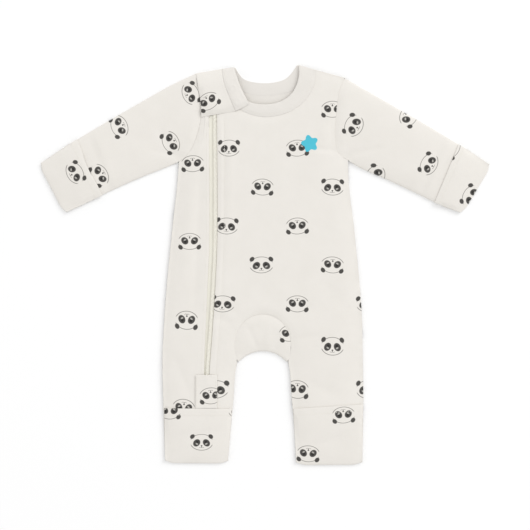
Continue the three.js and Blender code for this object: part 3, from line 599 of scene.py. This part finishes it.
# the slight unevenness of cloth that lies loose, in millimetres, with puckers beside the seams
looseness = {
    "broad": 0.35,
    "broadSize": 55,
    "pucker": 0.16,
    "puckerSize": 5.0,
    "puckerFrom": 2.5,
    "puckerReach": 7.0,
    "facesUp": 0.3,
    "lowest": 1.0,
    "lowestFront": 1.7,  # clear of the back
}
# how the outer side of a wall is told from its inner side: by its slope, and by its heights in millimetres
outerSide = {"slope": 0.2, "topOver": 1.6, "underBelow": 1.4, "underLow": 1.1, "sideLow": 0.1,
             "sideHigh": 2.0}
cornerTurn = 38  # degrees
quads = {"bend": 40, "skew": 60}  # degrees within which two triangles become one square


def alongAndAway(x, y, line):
    # how far along a straight line the nearest place is, and how far off
    ax, ay = line["from"]
    dx, dy = line["to"][0] - ax, line["to"][1] - ay
    share = max(0, min(1, ((x - ax) * dx + (y - ay) * dy) / max(dx * dx + dy * dy, 0.01)))
    return share, math.hypot(x - ax - dx * share, y - ay - dy * share)


def creaseHeight(x, y):
    height = 0
    for crease in creases:
        share, away = alongAndAway(x, y, crease)
        away /= crease["width"]
        if away < 3:
            atEnds = min(1, 6 * share * (1 - share) + 0.35)  # a crease runs out softly
            height += crease["depth"] * math.exp(-away * away) * atEnds
    return height + looseness["broad"] * noise.noise(Vector((x, y, 0)) / looseness["broadSize"])


def snapPress(x, y):
    # the rim of each snap shows through the flap above it
    height = 0
    for place in snapMarks["at"]:
        away = (math.hypot(x - place[0], y - place[1]) - snapMarks["radius"]) / snapMarks["width"]
        height += snapMarks["height"] * math.exp(-away * away)
    return height


def isOuter(face):
    # the side of a folded or flat wall that faces the room
    heights = [v.co.z / mm for v in face.verts]
    if face.normal.z > outerSide["slope"]:
        return max(heights) > outerSide["topOver"]
    if face.normal.z < -outerSide["slope"]:
        return max(heights) < outerSide["underBelow"] and min(heights) < outerSide["underLow"]
    return min(heights) < outerSide["sideLow"] and max(heights) > outerSide["sideHigh"]


def outerSkin(node):
    mesh = frame["nodes"][node].data
    skin = bmesh.new()
    skin.from_mesh(mesh)
    bmesh.ops.remove_doubles(skin, verts=skin.verts, dist=weld)
    skin.normal_update()
    inner = [face for face in skin.faces if not isOuter(face)]
    bmesh.ops.delete(skin, geom=inner, context="FACES")
    return skin


def cutIntoSquares(skin, size):
    # a flat panel's outline, cut along a square grid
    bmesh.ops.dissolve_faces(skin, faces=skin.faces[:])
    for axis in (0, 1):
        low = min(v.co[axis] for v in skin.verts)
        high = max(v.co[axis] for v in skin.verts)
        for i in range(1, int((high - low) / size) + 1):
            point, way = Vector(), Vector()
            point[axis] = low + i * size
            way[axis] = 1
            geometry = skin.verts[:] + skin.edges[:] + skin.faces[:]
            bmesh.ops.bisect_plane(skin, geom=geometry, dist=0.001 * mm, plane_co=point, plane_no=way)


def holdCorners(skin):
    # corners of a piece stay sharp where its edge turns
    corner = skin.verts.layers.float.new("crease_vert")
    for vert in skin.verts:
        rim = [edge for edge in vert.link_edges if edge.is_boundary]
        if len(rim) == 2:
            ways = [(edge.other_vert(vert).co - vert.co).normalized() for edge in rim]
            if ways[0].angle(-ways[1], 0) > math.radians(cornerTurn):
                vert[corner] = 1.0


def smoothed(skin, name, levels, kind):
    mesh = bpy.data.meshes.new(name)
    skin.to_mesh(mesh)
    skin.free()
    piece = bpy.data.objects.new(name, mesh)
    bpy.context.collection.objects.link(piece)
    if levels:
        subdivision = piece.modifiers.new("smooth", "SUBSURF")
        subdivision.levels = subdivision.render_levels = levels
        subdivision.subdivision_type = kind
        fine = bpy.data.meshes.new_from_object(piece.evaluated_get(bpy.context.evaluated_depsgraph_get()))
        piece.modifiers.clear()
        piece.data = fine
        piece.data.name = name
    return piece


def kdTreeOf(points):
    tree = kdtree.KDTree(len(points))
    for i, point in enumerate(points):
        tree.insert(point, i)
    tree.balance()
    return tree


def flatPlace(point):
    return Vector((point.x, point.y, 0))


def rimOf(skin):
    return [vert for vert in skin.verts if any(edge.is_boundary for edge in vert.link_edges)]


def edgePoints(skin, above):
    # places all along the rim of a piece, seen from above
    steps = 8
    points = []
    for edge in skin.edges:
        if edge.is_boundary and min(v.co.z for v in edge.verts) >= above:
            start, end = [v.co for v in edge.verts]
            points += [flatPlace(start.lerp(end, i / steps)) for i in range(steps + 1)]
    return points


def sewnHeight(place):
    # a flat seam, lower where it runs out at the side of the garment
    away = min((place - Vector((x * mm, y * mm, 0))).length for x, y in seamEnds)
    share = min(1, away / seam["endReach"])
    return seam["low"] + (seam["flat"] - seam["low"]) * share * share * (3 - 2 * share)


def besideZip(at):
    return abs(at.x - zipEdge["x"]) < zipEdge["within"] and zipEdge["from"] < at.y < zipEdge["to"]


def closedHeights(rim, name):
    # where a piece is sewn to its neighbour, to its own other layer, or to the back: place, height and reach
    finish, isFront = clothFinish[name], name.startswith("front")
    neighbours = [topEdges[other] for other in sewnTo.get(name, [])]
    plan = kdTreeOf([flatPlace(vert.co) for vert in rim])
    closed = []
    for vert in rim:
        at, place = vert.co.copy(), flatPlace(vert.co)
        upper = at.z > seam["upperAbove"]
        if upper and any(tree.find(place)[2] < seam["sewnWithin"] for tree in neighbours):
            closed.append((at, sewnHeight(place) - finish["tuck"] * mm, seam["sewnReach"]))
        elif finish["closes"]:
            heights = [rim[found[1]].co.z for found in plan.find_range(place, seam["pairWithin"])]
            if max(heights) - min(heights) > seam["pairApart"] and max(heights) < seam["pairBelow"]:
                closed.append((at, seam["over"] if upper else seam["under"], seam["closeReach"]))
        elif isFront and besideZip(at):
            closed.append((at, seam["onTape"], seam["closeReach"]))
        elif isFront and at.y > seam["backFrom"] and topEdges["back"].find(place)[2] < seam["backWithin"]:
            closed.append((at, seam["onBack"], seam["closeReach"]))
    return closed


def outwards(vert):
    # away from the cloth, in its own plane
    away = Vector()
    for edge in vert.link_edges:
        if edge.is_boundary:
            face = edge.link_faces[0]
            across = (edge.verts[1].co - edge.verts[0].co).cross(face.normal)
            middle = (edge.verts[0].co + edge.verts[1].co) / 2
            away += across if across.dot(middle - face.calc_center_median()) > 0 else -across
    return away.normalized()


def rollEdges(skin, name):
    # the edge turns over softly, as a sewn or folded edge does
    finish = clothFinish[name]
    if finish["roll"]:
        bmesh.ops.inset_region(skin, faces=skin.faces[:], use_boundary=True, use_even_offset=False,
                               thickness=seam["ring"])
    skin.normal_update()
    rim = rimOf(skin)
    edge = kdTreeOf([vert.co for vert in rim])
    closed = closedHeights(rim, name)
    closing = kdTreeOf([entry[0] for entry in closed])
    reach = {vert: outwards(vert) * seam["meets"] for vert in rim}
    for vert in skin.verts:
        start = vert.co.copy()
        share = max(0, 1 - edge.find(start)[2] / seam["rollReach"]) ** 2
        vert.co -= vert.normal * finish["roll"] * mm * share * (seam["underside"] if vert.normal.z < 0 else 1)
        if closed:
            index, away = closing.find(start)[1:]
            pull = max(0, 1 - away / closed[index][2]) ** 1.5
            vert.co.z += (closed[index][1] - vert.co.z) * pull
        if finish["curl"] and seam["curlFrom"] < start.y < seam["curlTo"]:
            vert.co.z += finish["curl"] * mm * max(0, 1 - edge.find(start)[2] / seam["closeReach"])
        for pull in finish["pulls"]:
            if start.z > pull["above"] * mm:
                away = alongAndAway(start.x / mm, start.y / mm, pull)[1] / pull["size"]
                vert.co += Vector(pull["move"]) * mm * math.exp(-away * away)
    for vert in rim:
        vert.co += reach[vert]


def addLooseness(skin, name):
    tree = kdTreeOf([vert.co.copy() for vert in rimOf(skin)])
    for vert in skin.verts:
        if vert.normal.z < looseness["facesUp"]:
            continue
        x, y = vert.co.x / mm, vert.co.y / mm
        away = tree.find(vert.co)[2] / mm
        beyond = (away - looseness["puckerFrom"]) / looseness["puckerReach"]
        near = math.exp(-beyond ** 2) * min(1, away / looseness["puckerFrom"])
        pucker = noise.noise(Vector((x, y, len(name))) / looseness["puckerSize"]) * looseness["pucker"] * near
        vert.co.z += (creaseHeight(x, y) + pucker) * mm
        if "flap" in name:
            vert.co.z += snapPress(x, y) * mm
        lowest = looseness["lowestFront"] if name.startswith("front") else looseness["lowest"]
        vert.co.z = max(vert.co.z, lowest * mm)


def printCoordinates(skin, name):
    lies = printLies.get(name, plainLies)
    climbs = math.radians(lies["climbs"])
    up = Vector((math.cos(climbs), math.sin(climbs)))
    right = Vector((up.y, -up.x))
    column, row = lies["column"], lies["row"]
    start = Vector((printRepeat["firstColumn"] + column * printRepeat["columnGap"],
                    printRepeat["firstRow"] - (row + (column % 2) / 2) * printRepeat["rowGap"]))
    layer = skin.loops.layers.uv.new("print")
    for face in skin.faces:
        for loop in face.loops:
            x, y = loop.vert.co.x / mm, loop.vert.co.y / mm
            if name == "front_main":
                away = math.hypot(x - neckSlip["at"][0], y - neckSlip["at"][1]) / neckSlip["size"]
                y -= neckSlip["up"] * math.exp(-away * away)
                below = frontEase["from"] - y
                lean = frontEase["start"] + frontEase["lean"] * below + frontEase["curve"] * below ** 2
                x += lean * max(0, min(1, (frontEase["fadeAt"] - x) / frontEase["fade"]))
            if "ease" in lies:
                ease = lies["ease"]
                share = max(0, min(1, ((x, y)[ease["axis"]] - ease["from"]) / (ease["to"] - ease["from"])))
                x, y = x - ease["move"][0] * share, y - ease["move"][1] * share
            y += legStretch.get(name, 0) * max(0, legStretch["from"] - y)
            place = Vector((x - lies["x"], y - lies["y"])) * mm
            loop[layer].uv = start + Vector((place.dot(right), place.dot(up)))


def clothPiece(name):
    finish = clothFinish[name]
    skin = outerSkin(name)
    if name in flatPieces:
        cutIntoSquares(skin, flatPieces[name])
    else:
        bmesh.ops.join_triangles(skin, faces=skin.faces[:],
                                 angle_face_threshold=math.radians(quads["bend"]),
                                 angle_shape_threshold=math.radians(quads["skew"]))
    holdCorners(skin)
    piece = smoothed(skin, name + "_cloth", finish["levels"], finish["kind"])
    skin = bmesh.new()
    skin.from_mesh(piece.data)
    bmesh.ops.recalc_face_normals(skin, faces=skin.faces[:])
    top = max(skin.faces, key=lambda face: face.calc_center_median().z)
    if (top.normal.z < 0) == (name not in flatPieces):
        bmesh.ops.reverse_faces(skin, faces=skin.faces[:])
    rollEdges(skin, name)
    skin.normal_update()
    addLooseness(skin, name)
    printCoordinates(skin, name)
    for face in skin.faces:
        face.smooth = name not in flatPieces
    area = sum(face.calc_area() for face in skin.faces)
    skin.to_mesh(piece.data)
    skin.free()
    piece.data.materials.clear()
    piece.data.materials.append(materials[finish["outside"]])
    piece.data.materials.append(materials[finish["inside"]])
    thickness = piece.modifiers.new("wall", "SOLIDIFY")
    thickness.thickness = wall["thickness"]
    thickness.offset = -1
    thickness.material_offset = 1
    thickness.use_even_offset = False
    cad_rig.ride(piece, "root")
    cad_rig.replaces(piece, name)
    return piece, area


# width and length of each cut as it shows, in its own grain, and what it lies on
cuts = {
    "back": {"flat": (0.262, 0.455), "on": ["floor"]},
    "front_main": {"flat": (0.206, 0.455), "on": ["back_cloth"]},
    "front_side": {"flat": (0.063, 0.410), "on": ["back_cloth"]},
    "sleeve_left": {"flat": (0.235, 0.185), "on": ["floor"]},
    "sleeve_right": {"flat": (0.235, 0.185), "on": ["floor"]},
    "mitt_left": {"flat": (0.080, 0.110), "on": ["floor", "sleeve_left_cloth"]},
    "mitt_right": {"flat": (0.083, 0.100), "on": ["floor", "sleeve_right_cloth"]},
    "foot_cover_left": {"flat": (0.090, 0.136), "on": ["floor", "front_main_cloth"]},
    "foot_cover_right": {"flat": (0.092, 0.142), "on": ["floor", "front_main_cloth"]},
    "crotch_gusset": {"flat": (0.078, 0.102), "on": ["floor"]},
    "shoulder_flap": {"flat": (0.054, 0.066), "on": ["front_main_cloth"]},
    "zip_garage": {"flat": (0.029, 0.044), "on": ["front_main_cloth", "front_side_cloth"]},
    "neckband_front": {"flat": (0.017, 0.190), "on": ["front_main_cloth"]},
    "neckband_back": {"flat": (0.018, 0.150), "on": ["floor"]},
    "neckband_flap": {"flat": (0.019, 0.060), "on": ["shoulder_flap_cloth"]},
    "zip_tape_side": {"flat": (0.013, 0.365), "on": ["back_cloth"]},
    "zip_tape_main": {"flat": (0.011, 0.365), "on": ["back_cloth"]},
}

floorSize = {"width": 8.0, "below": 0.05 * mm}


def paleFloor():
    # a wide sheet of matt white, with no highlight of its own
    floor = bmesh.new()
    bmesh.ops.create_grid(floor, x_segments=1, y_segments=1, size=floorSize["width"] / 2,
                          matrix=Matrix.Translation((0, 0, -floorSize["below"])))
    mesh = bpy.data.meshes.new("floor")
    floor.to_mesh(mesh)
    floor.free()
    piece = bpy.data.objects.new("floor", mesh)
    bpy.context.collection.objects.link(piece)
    material, tree = newMaterial("matt white backdrop")
    shader = addNode(tree, "ShaderNodeBsdfPrincipled",
                     {"Base Color": linearColour("#fbfbfb"), "Roughness": 1.0, "Specular IOR Level": 0.0})
    addNode(tree, "ShaderNodeOutputMaterial", links={"Surface": shader})
    mesh.materials.append(material)
    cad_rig.stage(piece)


paleFloor()
topEdges = {}  # the edges that other pieces are fitted to
for name in ["back"] + list(sewnTo):
    skin = outerSkin(name)
    topEdges[name] = kdTreeOf(edgePoints(skin, -1 if name == "back" else seam["upperAbove"]))
    skin.free()
pieces = {}
areas = {}
for name in clothFinish:
    pieces[name], areas[name] = clothPiece(name)
print("cloth laid out:", sum(len(piece.data.polygons) for piece in pieces.values()), "faces")


stitch = {
    "length": 2.3 * mm,
    "gap": 0.75 * mm,
    "thread": 0.21 * mm,
    "flat": 1.15,  # how much wider than high the thread lies
    "sink": 0.05 * mm,
    "feet": 0.4,  # where it touches the cloth, as a share of its length from its middle
    "corner": 1.0,  # radians: a sharper turn isn't rounded
}
rayHeight = 50 * mm  # above all of the garment

# lines of sewing in millimetres, on the piece that they are sewn through
sewing = [
    {"on": "front_main", "line": [(-52.4, 192), (-52.6, 110), (-53, 34), (-56, -44), (-58.8, -83),
                                  (-62.4, -129), (-63.2, -141)]},
    {"on": "front_main", "line": [(-41.9, -96.6), (-37.2, -82.7), (-28.4, -71.3), (-16.5, -63.9), (-3, -61.3),
                                  (10.5, -63.9), (22.4, -71.3), (31.2, -82.7), (35.9, -96.6)]},
    {"on": "front_side", "line": [(-76.0, 192), (-75.8, 110), (-75.7, 34), (-78.6, -44), (-80.3, -83),
                                  (-82.3, -129), (-82.6, -141)]},
    {"on": "shoulder_flap", "line": [(-80.6, 196.3), (-70, 197.0), (-56, 198.8), (-43, 201.4)]},
    {"on": "zip_garage", "line": [(-62.9, -184), (-64.0, -145.0), (-88.3, -145.0), (-88.3, -184)]},
    {"on": "mitt_left", "line": [(-219.6, 87.4), (-251.2, 157.6)]},
    {"on": "mitt_right", "line": [(226.6, 79.6), (258.4, 152.0)]},
    {"on": "foot_cover_left", "line": [(-129.6, -194.6), (-45.0, -195.2)]},
    {"on": "foot_cover_right", "line": [(39.5, -195.0), (125.2, -189.2)]},
    {"on": "neckband_front", "line": [(61.2, 246.5), (60.4, 238.5), (57, 228.5), (47.8, 214.6), (32.4, 203.2),
                                      (15.2, 197.2), (-2.2, 195.8), (-16.8, 198.8), (-27.0, 203.4)]},
    {"on": "neckband_flap", "line": [(-53.0, 252.0), (-50.8, 241.8), (-46.2, 227.0), (-40.0, 211.0),
                                     (-37.4, 205.2)]},
]


def topOf(piece):
    tree = BVHTree.FromObject(piece, bpy.context.evaluated_depsgraph_get())
    return lambda x, y: tree.ray_cast(Vector((x, y, rayHeight)), Vector((0, 0, -1)))[0]


def addOval(shape, centre, turn, radii):
    # a small ball drawn out along its poles
    lying = Matrix.Rotation(math.pi / 2, 4, "Y")
    bmesh.ops.create_uvsphere(shape, u_segments=8, v_segments=6, radius=1,
                              matrix=Matrix.Translation(centre) @ turn @ Matrix.Diagonal((*radii, 1)) @ lying)


def alongLine(line, step):
    # places at even steps along a soft curve through the points
    points = [Vector(p) * mm for p in line]
    fine = []
    steps = 16
    for i, (start, end) in enumerate(zip(points, points[1:])):
        before, after = points[max(i - 1, 0)], points[min(i + 2, len(points) - 1)]
        turns = [(end - start).angle(after - end, 0), (start - before).angle(end - start, 0)]
        for k in range(steps):
            t = k / steps
            if max(turns) > stitch["corner"]:
                fine.append(start.lerp(end, t))
                continue
            leave, arrive = (end - before) / 2, (after - start) / 2
            fine.append(start * (2 * t ** 3 - 3 * t ** 2 + 1) + leave * (t ** 3 - 2 * t ** 2 + t)
                        + end * (3 * t ** 2 - 2 * t ** 3) + arrive * (t ** 3 - t ** 2))
    fine.append(points[-1])
    walked, target = 0, step / 2
    for a, b in zip(fine, fine[1:]):
        length = (b - a).length
        while walked + length >= target and length > 0:
            yield a.lerp(b, (target - walked) / length), (b - a).normalized()
            target += step
        walked += length


def sewLine(threads, entry):
    ground = topOf(pieces[entry["on"]])
    step = stitch["length"] + stitch["gap"]
    for place, way in alongLine(entry["line"], step):
        half = way * stitch["length"] * stitch["feet"]
        ends = [ground(*(place - half)), ground(*(place + half))]
        if None in ends:
            continue
        along = (ends[1] - ends[0]).normalized()
        centre = (ends[0] + ends[1]) / 2 + Vector((0, 0, stitch["thread"] / 2 - stitch["sink"]))
        turn = along.to_track_quat("X", "Z").to_matrix().to_4x4()
        radii = (stitch["length"] / 2, stitch["thread"] * stitch["flat"], stitch["thread"])
        addOval(threads, centre, turn, radii)


def looseObject(name, shape, material):
    mesh = bpy.data.meshes.new(name)
    for face in shape.faces:
        face.smooth = True
    shape.to_mesh(mesh)
    shape.free()
    mesh.materials.append(materials[material])
    piece = bpy.data.objects.new(name, mesh)
    bpy.context.collection.objects.link(piece)
    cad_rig.ride(piece, "root")
    return piece


bpy.context.view_layer.update()
seams = {}
for entry in sewing:
    seams.setdefault(entry["on"], []).append(entry)
threadPieces = {}
for name, entries in seams.items():
    threads = bmesh.new()
    for entry in entries:
        sewLine(threads, entry)
    threadPieces[name] = looseObject(name + "_stitches", threads, "thread")
    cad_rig.slot(threadPieces[name], "neckband" if name.startswith("neckband") else "jersey")
print("sewn:", len(sewing), "lines of stitches on", len(threadPieces), "pieces")


coil = {
    "pitch": 1.7 * mm,  # coarser than the real one, so that it shows
    "reach": 1.5 * mm,
    "wire": 0.76 * mm,
    "flat": 0.55 * mm,
    "shift": 1.05 * mm,
    "lean": 6,
    "from": -84 * mm,  # its middle is looked for between these
    "to": -58 * mm,
    "step": 0.2 * mm,
}


def zipCoil():
    # two rows of small bent loops that reach into each other
    node = frame["nodes"]["zip_coil"]
    ground = topOf(node)
    heights = [vert.co.y for vert in node.data.vertices]
    low, high = min(heights), max(heights)
    steps = round((coil["to"] - coil["from"]) / coil["step"])
    across = [coil["from"] + i * coil["step"] for i in range(steps)]
    shape = bmesh.new()
    for i in range(int((high - low) / coil["pitch"]) - 1):
        y = low + (i + 1) * coil["pitch"]
        found = [hit for hit in (ground(x, y) for x in across) if hit]
        if not found:
            continue
        middle = (found[0].x + found[-1].x) / 2
        top = max(hit.z for hit in found)
        for side in (-1, 1):
            centre = Vector((middle + side * coil["shift"], y + side * coil["pitch"] / 4, top - coil["flat"]))
            turn = Matrix.Rotation(math.radians(side * coil["lean"]), 4, "Z")
            addOval(shape, centre, turn, (coil["reach"], coil["wire"], coil["flat"]))
    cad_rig.replaces(looseObject("zip_coil_teeth", shape, "coil"), "zip_coil")


hardEdges = {"flat": 3, "sharp": 40}  # degrees


def softened(name, width, material):
    # a small hard piece with its edges rounded over
    shape = bmesh.new()
    shape.from_mesh(frame["nodes"][name].data)
    bmesh.ops.remove_doubles(shape, verts=shape.verts, dist=weld)
    bmesh.ops.dissolve_limit(shape, angle_limit=math.radians(hardEdges["flat"]), verts=shape.verts[:],
                             edges=shape.edges[:])
    turn = math.radians(hardEdges["sharp"])
    sharp = [edge for edge in shape.edges if edge.is_manifold and edge.calc_face_angle(0) > turn]
    bmesh.ops.bevel(shape, geom=sharp, offset=width, affect="EDGES", segments=3, profile=0.5, material=-1)
    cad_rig.replaces(looseObject(name + "_finished", shape, material), name)


zipCoil()
softened("zip_slider", 0.4 * mm, "slider")
softened("snap_upper", 0.25 * mm, "snap")
softened("snap_lower", 0.25 * mm, "snap")
print("zip and snaps in place")

# each area is the finished cloth's own, held to its rectangle. Only zip_tape_side is over it: that tape is 10.8
# to 14.3 mm wide, more than the 13 mm stated above, and zip_tape_main is 9.6 mm wide, less than its 11 mm
for name, cut in cuts.items():
    extras = [threadPieces[name]] if name in threadPieces else []
    width, length = cut["flat"]
    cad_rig.sheet(pieces[name], flat=cut["flat"], held="laid", rests_on=cut["on"],
             area=min(areas[name], width * length), with_pieces=extras)


camera = {"height": 3.0, "frameWidth": 0.689, "sensor": 36.0, "sees": 20.0}
lights = [
    {"name": "key", "at": (5.4, 6.0, 4.5), "size": 4.6, "power": 300.0},
    {"name": "overhead", "at": (0.0, 0.0, 5.2), "size": 4.8, "power": 20.0},
]
skyStrength = 0.83


def setCamera():
    data = bpy.data.cameras.new("camera")
    data.sensor_width = camera["sensor"]
    data.lens = camera["sensor"] * camera["height"] / camera["frameWidth"]
    data.clip_end = camera["sees"]
    rig = bpy.data.objects.new("camera", data)
    rig.location = (0, 0, camera["height"])
    bpy.context.collection.objects.link(rig)
    bpy.context.scene.camera = rig


def setLights():
    for light in lights:
        data = bpy.data.lights.new(light["name"], "AREA")
        data.size = light["size"]
        data.energy = light["power"]
        lamp = bpy.data.objects.new(light["name"], data)
        lamp.location = light["at"]
        lamp.rotation_euler = (-Vector(light["at"])).to_track_quat("-Z", "Y").to_euler()
        bpy.context.collection.objects.link(lamp)
    world = bpy.data.worlds.new("studio")
    world.use_nodes = True
    world.node_tree.nodes.clear()
    sky = addNode(world.node_tree, "ShaderNodeBackground",
                  {"Color": linearColour("#ffffff"), "Strength": skyStrength})
    addNode(world.node_tree, "ShaderNodeOutputWorld", links={"Surface": sky})
    bpy.context.scene.world = world
    bpy.context.scene.view_settings.view_transform = "Standard"


setCamera()
setLights()
sceneBox = [list(corner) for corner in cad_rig.bounds()]
with open("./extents.json", "w") as sizes:
    json.dump({"cad": cadBox, "scene": sceneBox}, sizes)
print("size in mm:", [[round(v / mm, 1) for v in corner] for corner in sceneBox])
